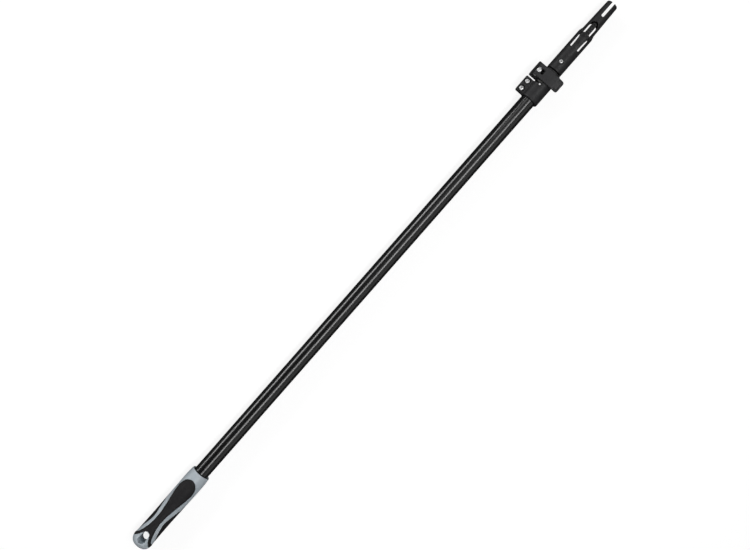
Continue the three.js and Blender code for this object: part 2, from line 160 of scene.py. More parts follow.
def bezier(a, b, c, d, pieces):
    """A cubic curve from a to d that is drawn towards b and c, with that many chords."""
    t = np.linspace(0, 1, pieces + 1)[:, None]
    a, b, c, d = (np.array(p, float) for p in (a, b, c, d))
    return (1 - t) ** 3 * a + 3 * (1 - t) ** 2 * t * b + 3 * (1 - t) * t**2 * c + t**3 * d


def arc(x, y, r, degrees_0, degrees_1, pieces=24):
    t = np.radians(np.linspace(degrees_0, degrees_1, pieces + 1))
    return np.column_stack([x + r * np.cos(t), y + r * np.sin(t)])


def rounded(corners, pieces=5):
    """A closed outline through corners of (x, y, radius)."""
    made = []
    for i, (x, y, r) in enumerate(corners):
        corner = np.array([x, y], float)
        if r == 0:
            made.append(corner)
            continue
        sides = [np.array(corners[j][:2], float) - corner for j in (i - 1, (i + 1) % len(corners))]
        lengths = [np.linalg.norm(s) for s in sides]
        a, b = (s / n for s, n in zip(sides, lengths))
        half_angle = math.acos(max(-1, min(1, float(a @ b)))) / 2
        reach = min(r / math.tan(half_angle), 0.48 * lengths[0], 0.48 * lengths[1])
        for t in np.linspace(0, 1, pieces + 1):
            made.append(corner + a * reach * (1 - t) ** 2 + b * reach * t**2)
    return np.array(made)


def tab_outline(x0, x1, y_near, y_far, r):
    """A rectangle in X and Y whose corners at y_far are rounded."""
    return rounded([(x0, y_near, 0), (x0, y_far, r), (x1, y_far, r), (x1, y_near, 0)], 8)


def mirrored(side):
    """The outline with side as its half where y > 0."""
    return np.vstack([side, (side * [1, -1])[-2:0:-1]])


# ---- shapes: vertices and faces ----


def turned(profile, sides=SIDES):
    """Turns a profile of (x, radius) round the X axis. It may end on the axis at both ends."""
    points = np.array(profile, float)
    turn = np.linspace(0, 2 * math.pi, sides, endpoint=False)
    verts = np.column_stack([
        np.repeat(points[:, 0], sides),
        np.outer(points[:, 1], np.sin(turn)).ravel(),
        np.outer(points[:, 1], np.cos(turn)).ravel(),
    ])
    rows = len(points)
    faces = [
        (i * sides + j, i * sides + (j + 1) % sides, k * sides + (j + 1) % sides, k * sides + j)
        for i in range(rows)
        for k in [(i + 1) % rows]
        for j in range(sides)
    ]
    return verts, faces


def slab(outline, z0, z1):
    """An outline in X and Y, from z0 up to z1."""
    flat = np.array(outline, float)
    n = len(flat)
    verts = np.vstack([np.column_stack([flat, np.full(n, z)]) for z in (z0, z1)])
    walls = [(i, (i + 1) % n, n + (i + 1) % n, n + i) for i in range(n)]
    return verts, [tuple(reversed(range(n))), tuple(range(n, 2 * n)), *walls]


def bar_along_x(outline, x0, x1):
    """An outline in Y and Z, from x0 to x1."""
    verts, faces = slab(outline, x0, x1)
    return verts[:, [2, 0, 1]], faces


def block(x0, x1, y0, y1, z0, z1):
    return slab([(x0, y0), (x1, y0), (x1, y1), (x0, y1)], z0, z1)


def upright(profile, x, y, sides=SMALL_SIDES):
    """Turns a profile of (z, radius) round an upright axis at x, y."""
    verts, faces = turned(profile, sides)
    return verts[:, [1, 2, 0]] + [x, y, 0], faces


def peg(x, y, z0, z1, r, sides=SMALL_SIDES):
    return upright([(z0, 0), (z0, r), (z1, r), (z1, 0)], x, y, sides)


def leaning(shape, angle):
    """Turns a shape round the pole's axis, from +Z towards +Y."""
    verts, faces = shape
    c, s = math.cos(math.radians(angle)), math.sin(math.radians(angle))
    return verts @ np.array([[1, 0, 0], [0, c, -s], [0, s, c]]), faces


def moved(shape, x=0, y=0, z=0):
    return shape[0] + [x, y, z], shape[1]


def hexagon(x, y, flats):
    return arc(x, y, flats / math.sqrt(3), 0, 300, 5)


# ---- solids: Blender objects, still in millimetres ----


def solid(shape):
    """A Blender object with the shape's vertices and faces."""
    verts, faces = shape
    mesh = bpy.data.meshes.new("solid")
    mesh.from_pydata(verts.tolist(), [], faces)
    made = bmesh.new()
    made.from_mesh(mesh)
    bmesh.ops.remove_doubles(made, verts=made.verts, dist=1e-4)
    bmesh.ops.recalc_face_normals(made, faces=made.faces)
    made.to_mesh(mesh)
    made.free()
    obj = bpy.data.objects.new("solid", mesh)
    bpy.context.scene.collection.objects.link(obj)
    return obj


def applied(obj):
    """obj with its modifiers made part of its mesh."""
    graph = bpy.context.evaluated_depsgraph_get()
    mesh = bpy.data.meshes.new_from_object(obj.evaluated_get(graph))
    obj.modifiers.clear()
    old = obj.data
    obj.data = mesh
    bpy.data.meshes.remove(old)
    return obj


def combined(base, operation, *others):
    """base joined with, cut by or kept inside each of the others, which are used up."""
    base = base if isinstance(base, bpy.types.Object) else solid(base)
    tools = [o if isinstance(o, bpy.types.Object) else solid(o) for o in others]
    for tool in tools:
        step = base.modifiers.new("step", "BOOLEAN")
        step.operation = operation
        step.solver = "MANIFOLD"
        step.object = tool
    applied(base)
    for tool in tools:
        bpy.data.objects.remove(tool)
    return base


def joined(base, *others):
    return combined(base, "UNION", *others)


def cut(base, *others):
    return combined(base, "DIFFERENCE", *others)


def inside(base, *others):
    return combined(base, "INTERSECT", *others)


def moulded(obj, voxel, rounds):
    """obj remeshed in steps of voxel and smoothed, so that its edges are soft, as a moulded part's are."""
    remesh = obj.modifiers.new("remesh", "REMESH")
    remesh.mode = "VOXEL"
    remesh.voxel_size = voxel
    soften = obj.modifiers.new("soften", "SMOOTH")
    soften.factor = 0.5
    soften.iterations = rounds
    return applied(obj)


def finished(obj, name, body, slot, sharp=35, along=0, roll=0):
    """Puts a solid in the row frame, in metres, as the piece that stands for the CAD node of its name.

    When body is None, the piece is attached to no body. Edges of more than sharp degrees stay sharp.
    """
    obj.name = obj.data.name = name
    to_row = Matrix.Translation(ORIGIN) @ Matrix.Scale(0.001, 4)
    turn = Matrix.Rotation(math.radians(-roll), 4, "X")
    obj.data.transform(to_row @ turn @ Matrix.Translation((along, 0, 0)))
    made = bmesh.new()
    made.from_mesh(obj.data)
    bmesh.ops.recalc_face_normals(made, faces=made.faces)
    for face in made.faces:
        face.smooth = True
    for edge in made.edges:
        edge.smooth = edge.calc_face_angle(0) < math.radians(sharp)
    made.to_mesh(obj.data)
    made.free()
    obj.data.materials.clear()
    obj.data.materials.append(MATERIALS[slot])
    if body:
        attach(obj, body)
    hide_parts(name)


# ---- materials ----

DUST_SCALE, DUST_COLOUR = 2600, (196, 194, 188)
MATERIALS = {}  # each slot's material


def node(tree, kind, inputs=None, **settings):
    made = tree.nodes.new(kind)
    for key, value in settings.items():
        setattr(made, key, value)
    for key, value in (inputs or {}).items():
        if isinstance(value, bpy.types.NodeSocket):
            tree.links.new(value, made.inputs[key])
        else:
            made.inputs[key].default_value = value
    return made


def noise(tree, where, scale, detail=3.0, roughness=0.55):
    inputs = {"Vector": where, "Scale": scale, "Detail": detail, "Roughness": roughness}
    return node(tree, "ShaderNodeTexNoise", inputs).outputs["Fac"]


def spread(tree, value, low, high, to_low=0.0, to_high=1.0):
    """value taken from the range low to high into the range to_low to to_high."""
    inputs = {"Value": value, "From Min": low, "From Max": high, "To Min": to_low, "To Max": to_high}
    return node(tree, "ShaderNodeMapRange", inputs).outputs["Result"]


def mixed(tree, share, a, b):
    """Colour a, with that share of colour b."""
    made = node(tree, "ShaderNodeMix", data_type="RGBA")
    for socket, value in ((made.inputs[0], share), (made.inputs[6], a), (made.inputs[7], b)):
        if isinstance(value, bpy.types.NodeSocket):
            tree.links.new(value, socket)
        else:
            socket.default_value = value
    return made.outputs[2]


def times(tree, a, b):
    return node(tree, "ShaderNodeMath", {0: a, 1: b}, operation="MULTIPLY").outputs[0]


def plus(tree, a, b):
    return node(tree, "ShaderNodeMath", {0: a, 1: b}, operation="ADD").outputs[0]


def rgba(r, g, b):
    """A colour given in screen values of 0 to 255, as the linear values that shaders take."""
    linear = [((c / 255 + 0.055) / 1.055) ** 2.4 if c > 10 else c / 255 / 12.92 for c in (r, g, b)]
    return (*linear, 1.0)


def streaked(tree, where, scale, strength, colour, streak_colour, gloss):
    """A colour and a roughness with thin streaks, which are rougher."""
    line = spread(tree, noise(tree, where, scale, 1), 0.62, 0.72, 0, strength)
    return mixed(tree, line, colour, streak_colour), plus(tree, gloss, times(tree, line, 0.25))


def dusty(tree, where, strength, colour):
    """A colour with fine pale flecks."""
    fleck = spread(tree, noise(tree, where, DUST_SCALE, 1), 0.69, 0.76, 0, strength)
    return mixed(tree, fleck, colour, rgba(*DUST_COLOUR))


def worn_at_edges(tree, where, colour, worn_colour):
    """A colour that is worn in patches along outer edges."""
    bare = node(tree, "ShaderNodeNewGeometry").outputs["Pointiness"]
    edge = spread(tree, bare, 0.53, 0.62, 0, 0.55)
    edge = times(tree, edge, spread(tree, noise(tree, where, 300, 4), 0.4, 0.65))
    return mixed(tree, edge, colour, worn_colour)


def ribbed(tree, where, pitch, share, height):
    """A height with ribs across the pole, pitch millimetres apart."""
    scale = math.pi * 1000 / (10 * pitch)
    inputs = {"Vector": where, "Scale": scale, "Distortion": 0.0, "Detail": 0.0}
    wave = node(tree, "ShaderNodeTexWave", inputs, bands_direction="X")
    return plus(tree, height, times(tree, wave.outputs["Fac"], share))


def finish(slot, dark, light, rough, metallic=0.0, specular=0.5, patch=60, grain=(900, 0.3, 0.0001),
           stretch=(1, 1, 1), streaks=0.0, dust=0.0, worn=None, ribs=None):
    """Makes a slot's material, with mottled colour, uneven gloss and fine grain.

    dark, light and rough are the ends of its colour and roughness. patch is the scale of its mottling, which
    stretch draws out. grain is (scale, strength, depth) and ribs is (pitch, share of the height). worn is the
    colour of its edges and streaks.
    """
    material = MATERIALS[slot] = bpy.data.materials.new(slot)
    material.use_nodes = True
    tree = material.node_tree
    shader = tree.nodes["Principled BSDF"]
    where = node(tree, "ShaderNodeTexCoord").outputs["Object"]
    drawn = node(tree, "ShaderNodeMapping", {"Vector": where, "Scale": stretch}).outputs[0]

    colour = mixed(tree, spread(tree, noise(tree, drawn, patch), 0.3, 0.7), rgba(*dark), rgba(*light))
    gloss = spread(tree, noise(tree, drawn, patch * 4.3, 4), 0.3, 0.7, rough[0], rough[1])
    height = noise(tree, drawn, grain[0], 2)
    if streaks:
        colour, gloss = streaked(tree, drawn, patch * 21, streaks, colour, rgba(*worn), gloss)
    if dust:
        colour = dusty(tree, where, dust, colour)
    if worn:
        colour = worn_at_edges(tree, where, colour, rgba(*worn))
    if ribs:
        height = ribbed(tree, where, *ribs, height)
    tree.links.new(colour, shader.inputs["Base Color"])
    tree.links.new(gloss, shader.inputs["Roughness"])
    bump = node(tree, "ShaderNodeBump", {"Height": height, "Strength": grain[1], "Distance": grain[2]})
    tree.links.new(bump.outputs["Normal"], shader.inputs["Normal"])
    shader.inputs["Metallic"].default_value = metallic
    shader.inputs["Specular IOR Level"].default_value = specular


finish("grey_plastic", (186, 197, 205), (203, 211, 217), (0.42, 0.54), patch=45, grain=(1500, 0.2, 0.0001),
       dust=0.1, worn=(150, 156, 162))
finish("black_rubber", (20, 20, 22), (32, 31, 33), (0.6, 0.78), patch=120, specular=0.4,
       grain=(1100, 0.5, 0.00016), dust=0.12, worn=(60, 59, 60), ribs=(2.2, 0.5))
finish("black_tube", (4, 4, 5), (7, 7, 8), (0.2, 0.26), patch=140, stretch=(0.06, 1, 1), specular=1.0,
       grain=(1500, 0.08, 0.00004), streaks=0.05, dust=0.06, worn=(70, 70, 72))
finish("bare_tube", (166, 167, 168), (190, 190, 189), (0.24, 0.36), metallic=0.6, patch=160,
       stretch=(0.03, 1, 1), grain=(1400, 0.18, 0.00005), streaks=0.2, worn=(130, 130, 132))
finish("black_clamp", (24, 24, 26), (38, 38, 40), (0.46, 0.58), patch=110, grain=(1300, 0.35, 0.00012),
       dust=0.1, worn=(84, 84, 86))
finish("black_lever", (33, 33, 35), (43, 43, 45), (0.45, 0.58), patch=90, grain=(1200, 0.35, 0.00012),
       dust=0.1, worn=(90, 90, 92))
finish("black_tip", (24, 24, 26), (38, 38, 40), (0.44, 0.56), patch=100, grain=(1300, 0.3, 0.0001),
       dust=0.1, worn=(84, 84, 86))
# The neck's material is painted shade: near-black, matt and with little specular, it stands for the shadow in
# the gap at the clamp's mouth.
finish("neck_painted_shade", (4, 4, 4), (8, 8, 8), (0.8, 0.9), patch=100, specular=0.1)
finish("nylon", (198, 195, 184), (212, 209, 198), (0.42, 0.56), patch=90, grain=(900, 0.25, 0.0001),
       dust=0.05, worn=(180, 176, 162))
finish("zinc_steel", (222, 223, 224), (242, 242, 241), (0.3, 0.42), metallic=0.45, patch=500,
       grain=(2600, 0.15, 0.00003), worn=(170, 170, 172))


# ---- handle and pads ----


def handle_profile():
    """The handle's outer curve as rows of (x, radius), from the end knob to the rim."""
    knee_x, knee_r, end_r = HANDLE["knee_x"], HANDLE["knee_r"], HANDLE["end_r"]
    knob = bezier((0, end_r), (0, end_r + 6), (knee_x * 0.4, knee_r), (knee_x, knee_r), 26)
    side = spline([
        (knee_x, knee_r), (25, 16.3), (60, 16), (95, 16.5), (125, 16.9), (140, 16.8),
        (HANDLE["length"], HANDLE["rim_r"]),
    ], 120)
    xs = np.arange(knee_x + HANDLE_STEP, HANDLE["length"] - 1.2, HANDLE_STEP)
    return np.vstack([knob, np.column_stack([xs, np.interp(xs, side[:, 0], side[:, 1])])])


HANDLE_ROWS = handle_profile()


def handle_radius(x):
    return np.interp(x, HANDLE_ROWS[:, 0], HANDLE_ROWS[:, 1])


def unrolled(outline):
    """An outline seen from straight above, laid on the handle's unrolled surface."""
    radius = handle_radius(outline[:, 0])
    turn = np.arcsin(np.clip(outline[:, 1] / radius, -1, 1))
    return np.column_stack([outline[:, 0], turn * HANDLE_MEAN_R])


def main_pad_outline():
    """A keyhole whose foot splits into two legs that run round the end knob."""
    keyhole = spline([
        (138.1, 0), (136, 6), (129, 11.5), (118, 13.7), (104, 12.2), (94, 10.4), (85, 8.5), (75, 6.9),
        (65, 5.9), (55, 5.6), (45, 6.3), (35, 8.3), (27.5, 10.5), (20.5, 13.2), (12.6, 17.9),
    ], 90)
    arch = spline([(9.4, 17.9), (12.6, 14.6), (19.5, 10), (27, 6.2), (30.8, 3), (32.1, 0)], 50)
    return unrolled(mirrored(np.vstack([keyhole, arch])))


def side_pad_outline():
    lens = spline([(22, 0), (33, 7.4), (54.5, 11.7), (76, 8.8), (87, 4.6), (95, 0)], 70)
    return unrolled(mirrored(lens))


def signed_distance(points, outline):
    """How far each point is from the outline; less than 0 inside it."""
    a, b = outline, np.roll(outline, -1, 0)
    best = np.full(len(points), 1e9)
    crossings = np.zeros(len(points), bool)
    for p, q in zip(a, b):
        edge = q - p
        length = float(edge @ edge)
        if length < 1e-12:
            continue
        t = np.clip((points - p) @ edge / length, 0, 1)
        best = np.minimum(best, np.linalg.norm(points - p - t[:, None] * edge, axis=1))
        between = (p[1] > points[:, 1]) != (q[1] > points[:, 1])
        with np.errstate(divide="ignore", invalid="ignore"):
            x = p[0] + (points[:, 1] - p[1]) * edge[0] / edge[1]
        crossings ^= between & (points[:, 0] < x)
    return np.where(crossings, -best, best)


MAIN_PAD, SIDE_PAD = main_pad_outline(), side_pad_outline()
# Each pad's outline and how far round the handle its middle is, from +Z towards +Y.
PADS = {"front": (MAIN_PAD, 0), "left": (SIDE_PAD, 90), "back": (MAIN_PAD, 180), "right": (SIDE_PAD, 270)}


def wrapped(turn):
    """Angles brought into -pi to pi."""
    return (turn + math.pi) % (2 * math.pi) - math.pi


def pad_distance(x, turn):
    """The distance along the handle's surface from the nearest pad's outline."""
    best = np.full(len(x), 1e9)
    for outline, middle in PADS.values():
        s = wrapped(turn - math.radians(middle)) * HANDLE_MEAN_R
        best = np.minimum(best, signed_distance(np.column_stack([x, s]), outline))
    return best


def hang_hole_outline():
    h = HANG_HOLE
    low = arc(h["start"] + h["low_r"], 0, h["low_r"], 90, 270, 40)
    high = arc(h["end"] - h["high_r"], 0, h["high_r"], -90, 90, 40)
    return np.vstack([low, high])


def quarter_round(distance, radius):
    """How far a surface has dropped at that distance in from a rounded edge."""
    e = np.clip(distance, 0, radius)
    return radius - np.sqrt(np.maximum(radius**2 - (radius - e) ** 2, 0))


def snapped(x, s, d, share=0.36):
    """Moves the grid's points that lie near the line where d is 0 onto it."""
    step = s[0, 1] - s[0, 0]
    gx = np.gradient(d, x[:, 0], axis=0)
    gs = np.gradient(d, step, axis=1)
    near = np.abs(d) < share * step
    x[near] -= (d * gx)[near]
    s[near] -= (d * gs)[near]
    d[near] = 0


class SharedPoints:
    """Points that neighbouring cells of a mesh share: each is made once, under its key."""

    def __init__(self, points=()):
        self.points = list(points)
        self.index = {}

    def add(self, key, point):
        if key not in self.index:
            self.index[key] = len(self.points)
            self.points.append(point)
        return self.index[key]


def cell_corners(i, j):
    return [(i, j), (i + 1, j), (i + 1, j + 1), (i, j + 1)]


def skin_grid(sides):
    """The handle's unrolled outside: a grid of x, of s and of the distance from the nearest bed's edge."""
    around = 2 * math.pi * HANDLE_MEAN_R
    s = np.linspace(-math.pi, math.pi, sides, endpoint=False)
    x, s = np.meshgrid(HANDLE_ROWS[:, 0], np.append(s, s[0] + 2 * math.pi) * HANDLE_MEAN_R, indexing="ij")
    d = pad_distance(x.ravel(), s.ravel() / HANDLE_MEAN_R).reshape(x.shape) - PAD["groove"]
    snapped(x, s, d)
    x[:, -1], s[:, -1], d[:, -1] = x[:, 0], s[:, 0] + around, d[:, 0]
    return x, s, d


def stepped_cell(ring, d, corner, foot, crossing):
    """The faces of a cell on a bed's edge: its part above, its part below and the step between them."""
    above, below, line = [], [], []
    for a, b in zip(ring, ring[1:] + ring[:1]):
        if d[a] >= 0:
            above.append(corner(a))
        if d[a] < 0:
            below.append(corner(a))
        if d[a] == 0:
            below.append(foot(a))
            line.append((corner(a), below[-1]))
        if d[a] * d[b] < 0:
            above.append(crossing(a, b, False))
            below.append(crossing(a, b, True))
            line.append((above[-1], below[-1]))
    faces = [tuple(f) for f in (above, below) if len(f) > 2]
    if len(line) == 2:
        faces.append((line[0][0], line[1][0], line[1][1], line[0][1]))
    return faces


def stepped_skin(sides):
    """The handle's outside on a grid, with a sunk bed under each pad: points of (x, turn, sunk) and faces."""
    x, s, d = skin_grid(sides)
    flat = np.column_stack([x[:, :-1].ravel(), s[:, :-1].ravel() / HANDLE_MEAN_R, d[:, :-1].ravel() < 0])
    made = SharedPoints(flat.tolist())

    def corner(a):
        return a[0] * sides + a[1] % sides

    def foot(a):
        return made.add((corner(a), True), (x[a], s[a] / HANDLE_MEAN_R, True))

    def crossing(a, b, sunk):
        t = d[a] / (d[a] - d[b])
        x_at, s_at = ((1 - t) * g[a] + t * g[b] for g in (x, s))
        key = tuple(sorted((corner(a), corner(b))))
        return made.add((key, sunk), (x_at, s_at / HANDLE_MEAN_R, sunk))

    faces = []
    for i in range(len(x) - 1):
        for j in range(sides):
            ring = cell_corners(i, j)
            signs = [np.sign(d[a]) for a in ring]
            if min(signs) >= 0 or max(signs) < 0:
                faces.append(tuple(corner(a) for a in ring))
            else:
                faces += stepped_cell(ring, d, corner, foot, crossing)
    return np.array(made.points, float), faces


def handle_skin_level(x, turn, sunk):
    """The radius of the handle's outside, with its beds and the rounded rim of the hanging hole."""
    radius = handle_radius(x)
    rim_share = signed_distance(np.column_stack([x, radius * np.sin(turn)]), hang_hole_outline())
    return radius - np.maximum(PAD["groove_depth"] * sunk, quarter_round(rim_share, HANG_HOLE["rim"]))


def rim_and_bore():
    """The handle's profile of (x, radius) from the rim's outside to the bore's end."""
    length, rim_r, seat_r = HANDLE["length"], HANDLE["rim_r"], BODY_BORE + 1.3
    return [
        (length - 0.7, rim_r + 0.05), (length - 0.25, rim_r - 0.2), (length, rim_r - 0.75),
        (length, seat_r + 0.4), (length - 0.4, seat_r), (length - 2, seat_r), (length - 2, BODY_BORE),
        (HANDLE["bore_end"], BODY_BORE),
    ]


def handle_core():
    sides, inner = HANDLE_SIDES, rim_and_bore()
    points, faces = stepped_skin(sides)
    x, turn, sunk = points.T
    r = handle_skin_level(x, turn, sunk)
    skin = np.column_stack([x, r * np.sin(turn), r * np.cos(turn)])
    around = np.linspace(-math.pi, math.pi, sides, endpoint=False)
    rings = [np.column_stack([np.full(sides, at), r * np.sin(around), r * np.cos(around)]) for at, r in inner]
    starts = [(len(HANDLE_ROWS) - 1) * sides, *(len(skin) + k * sides for k in range(len(inner)))]
    for a, b in zip(starts, starts[1:]):
        faces += [(a + j, b + j, b + (j + 1) % sides, a + (j + 1) % sides) for j in range(sides)]
    faces.append(tuple(range(sides)))
    faces.append(tuple(starts[-1] + j for j in reversed(range(sides))))
    core = cut(solid((np.vstack([skin, *rings]), faces)), slab(hang_hole_outline(), -FAR, FAR))
    finished(core, "handle_core", "grip_and_outer", "grey_plastic", roll=HANDLE_ROLL)


def trimmed_cells(xs, ss, distance):
    """The grid's cells inside an outline, trimmed along it: points of (x, s, depth inside) and faces."""
    x, s = np.meshgrid(xs, ss, indexing="ij")
    d = distance(np.column_stack([x.ravel(), s.ravel()])).reshape(x.shape)
    snapped(x, s, d)
    made = SharedPoints()

    def crossing(a, b):
        first, second = sorted((a, b))
        t = d[first] / (d[first] - d[second])
        place = [(1 - t) * g[first] + t * g[second] for g in (x, s)]
        return made.add((first, second), (*place, 0.0))

    faces = []
    for i, j in np.argwhere(np.minimum.reduce([d[:-1, :-1], d[1:, :-1], d[1:, 1:], d[:-1, 1:]]) < 0):
        ring = cell_corners(i, j)
        face = []
        for a, b in zip(ring, ring[1:] + ring[:1]):
            if d[a] <= 0:
                face.append(made.add(a, (x[a], s[a], -d[a])))
            if d[a] * d[b] < 0:
                face.append(crossing(a, b))
        if len(face) > 2:
            faces.append(tuple(face))
    return np.array(made.points), faces


def closed_pad(points, faces, middle):
    """The pad over trimmed cells: a top with a rounded edge, a wall and a bottom."""
    x, s, depth = points.T
    turn = s / HANDLE_MEAN_R + math.radians(middle)
    level = handle_radius(x)
    layers = []
    for r in (level + PAD["proud"] - quarter_round(depth, PAD["round"]), level - PAD["depth"]):
        layers.append(np.column_stack([x, r * np.sin(turn), r * np.cos(turn)]))
    n = len(points)
    edges = {}
    for face in faces:
        for a, b in zip(face, face[1:] + face[:1]):
            edges[(a, b)] = edges.get((b, a), 0) + 1
    walls = [(b, a, a + n, b + n) for a, b in edges if (b, a) not in edges]
    bottom = [tuple(i + n for i in reversed(face)) for face in faces]
    return np.vstack(layers), [*faces, *bottom, *walls]


def grip_pads():
    """The four rubber pads. Where two would meet round the end knob, a seam parts them."""
    seam = HANDLE_MEAN_R * math.pi / 2 - GAP / 2
    for side, (outline, middle) in PADS.items():

        def distance(points):
            return np.maximum(signed_distance(points, outline) - PAD["edge"], np.abs(points[:, 1]) - seam)

        xs = np.arange(*PAD_REACH, PAD_STEP)
        ss = np.linspace(-seam - 0.6, seam + 0.6, SIDES)
        shape = closed_pad(*trimmed_cells(xs, ss, distance), middle)
        finished(solid(shape), f"grip_pad_{side}", "grip_and_outer", "black_rubber",
                 roll=HANDLE_ROLL, sharp=50)


# ---- tubes ----


def tube_profile(x0, x1, r, wall, lip=0.25):
    return rounded([(x0, r, lip), (x1, r, lip), (x1, r - wall, lip), (x0, r - wall, lip)], 3)


def tubes():
    x0, x1 = start_of("outer_tube"), end_of("outer_tube")
    outer = solid(turned(tube_profile(x0, x1, TUBE_R, TUBE_WALL), 160))
    finished(outer, "outer_tube", "grip_and_outer", "black_tube")
    x0, x1 = start_of("inner_tube"), end_of("inner_tube")
    inner = solid(turned(tube_profile(x0, x1, INNER_R, INNER_WALL), 144))
    finished(inner, "inner_tube", "inner_section", "bare_tube")


def guide_bush():
    """A flanged plug with a groove round its flange and a hole of 12 mm through it."""
    x0, x1 = start_of("guide_bush"), end_of("guide_bush")
    plug_r, flange_end = INNER_R - INNER_WALL - GAP, x1 - 16 - GAP
    flange_r, groove_r, hole_r = INNER_R - 0.05, INNER_R - 0.5, 6
    profile = [
        (x0, hole_r, 0.3), (x0, INNER_R - 0.2, 0.5), (x0 + 1.3, flange_r, 0.1), (x0 + 1.5, groove_r, 0.1),
        (x0 + 1.9, groove_r, 0.1), (x0 + 2.1, flange_r, 0.1), (flange_end, flange_r, 0.2),
        (flange_end, plug_r, 0.1), (x1, plug_r, 0.8), (x1, hole_r, 0.3),
    ]
    bush = solid(turned(rounded(profile, 3), 96))
    finished(bush, "guide_bush", "slide_bush", "nylon")


# ---- clamp ----


def clamp_piece(obj, name, slot, body="grip_and_outer", **more):
    finished(obj, name, body, slot, along=CLAMP_START, **more)


def ear(x0, x1, reach, front, back):
    return slab(tab_outline(x0, x1, EAR["root"], reach, EAR["corner"]), back, front)


def sleeve():
    length, r, chamfer = CLAMP["length"], CLAMP["r"], CLAMP["chamfer"]
    return turned([(0, 0), (0, r - chamfer), (chamfer, r), (length - chamfer, r), (length, r - chamfer),
                   (length, 0)])


def rivet_peg(r0, r1, r):
    return leaning(peg(RIVET["x"], 0, r0, r1, r), RIVET["angle"])


def slit():
    """The cross slit that frees the jaw, less the round boss that stands into it."""
    gap = solid(block(LOWER_EAR["x1"], UPPER_EAR["x0"], CLAMP["bridge_y"], FAR, -FAR, FAR))
    boss_end = UPPER_EAR["x0"] - 1.8
    boss = inside(solid(rivet_peg(5, FAR, RIVET["boss_r"])), block(0, boss_end, -FAR, FAR, 0, FAR))
    return cut(gap, boss)


def screw_cuts(x):
    y, lowest = SCREW["y"], LOWER_EAR["back"]
    return [
        peg(x, y, SCREW["seat_z"], FAR, SCREW["seat_r"]),
        peg(x, y, -FAR, FAR, SCREW["r"] + GAP),
        slab(hexagon(x, y, NUT["flats"] + 2 * GAP), -FAR, lowest + NUT["height"] + GAP),
    ]


def clamp_body():
    length = CLAMP["length"]
    body = joined(solid(sleeve()), ear(**LOWER_EAR), ear(**UPPER_EAR))
    half_split = EAR["split"] / 2
    cuts = [
        slit(),
        turned([(-1, 0), (-1, BODY_BORE), (length + 1, BODY_BORE), (length + 1, 0)]),
        block(-1, length + 1, EAR["split_root"], FAR, -half_split, half_split),
        rivet_peg(5, FAR, RIVET["r"] + GAP),
        rivet_peg(CLAMP["r"] - RIVET["seat_depth"], FAR, RIVET["seat_r"]),
        peg(BOLT["x"], PIVOT["y"], -FAR, FAR, BOLT["r"] + GAP),
    ]
    for x in SCREW["xs"]:
        cuts += screw_cuts(x)
    body = moulded(cut(body, *cuts), 0.42, 3)
    clamp_piece(body, "clamp_body", "black_clamp", sharp=60)


def dome(base, height, r, edge, pieces=10):
    """A pan head's profile of (z, radius), from its underside to the top of its dome."""
    turn = np.linspace(0, math.pi / 2, pieces + 1)
    lip = base + edge
    over = [(lip + (height - edge) * math.sin(t), r * math.cos(t) ** 0.55) for t in turn[:-1]]
    return [(base, r - 0.15), (base + 0.15, r), *over, (base + height, 0)]


def thread(z0, z1, r, pitch=0.7, depth=0.3):
    """A screw thread's profile of (z, radius) as rings, from z0 up to z1."""
    turns = int((z1 - z0) / pitch)
    made = []
    for i in range(turns):
        z = z0 + i * pitch
        made += [(z, r - depth), (z + pitch * 0.45, r), (z + pitch * 0.6, r)]
    return made


def cross_recess(x, y, top, turn, half):
    """A cutter for a cross recess with a small round middle."""
    w = half * 0.5
    quarter = [(half, -w, 0.12), (half, w, 0.12), (w, w, 0.25)]
    c, s = np.cos, np.sin
    outline = []
    for k in range(4):
        a = math.radians(turn + 90 * k)
        outline += [(u * c(a) - v * s(a), u * s(a) + v * c(a), r) for u, v, r in quarter]
    return slab(rounded(outline, 3) + [x, y], top - 3, top + 2)


def screw(x, y, tip_z, base, shank_r, head_r, height, thread_end=None, recess_turn=None, recess=1.5,
          edge=0.75):
    """A pan-head screw that stands upright at x, y, with a cross recess where recess_turn is given."""
    start = [(tip_z, 0), (tip_z, shank_r - 0.5)]
    start += thread(tip_z + 0.3, thread_end, shank_r) if thread_end else [(tip_z + 0.4, shank_r)]
    profile = [*start, (base, shank_r), *dome(base, height, head_r, edge)]
    made = solid(upright(profile, x, y, 64))
    if recess_turn is not None:
        made = cut(made, cross_recess(x, y, base + height, recess_turn, recess))
    return made


def nut(x, y, z0, z1):
    """A hexagon nut with turned-down corners."""
    flats, r = NUT["flats"], NUT["flats"] / math.sqrt(3)
    blank = solid(slab(hexagon(x, y, flats), z0, z1))
    corners = [(z0, 0), (z0, r - 0.55), (z0 + 0.4, r + 0.1), (z1 - 0.4, r + 0.1), (z1, r - 0.55), (z1, 0)]
    blank = inside(blank, upright(corners, x, y, 64))
    bore_r = SCREW["r"] + GAP
    bore = [(z0 - 1, 0), (z0 - 1, bore_r + 1), (z0 + 0.35, bore_r - 0.1), (z1 - 0.35, bore_r - 0.1),
            (z1 + 1, bore_r + 1), (z1 + 1, 0)]
    return cut(blank, upright(bore, x, y, 64))


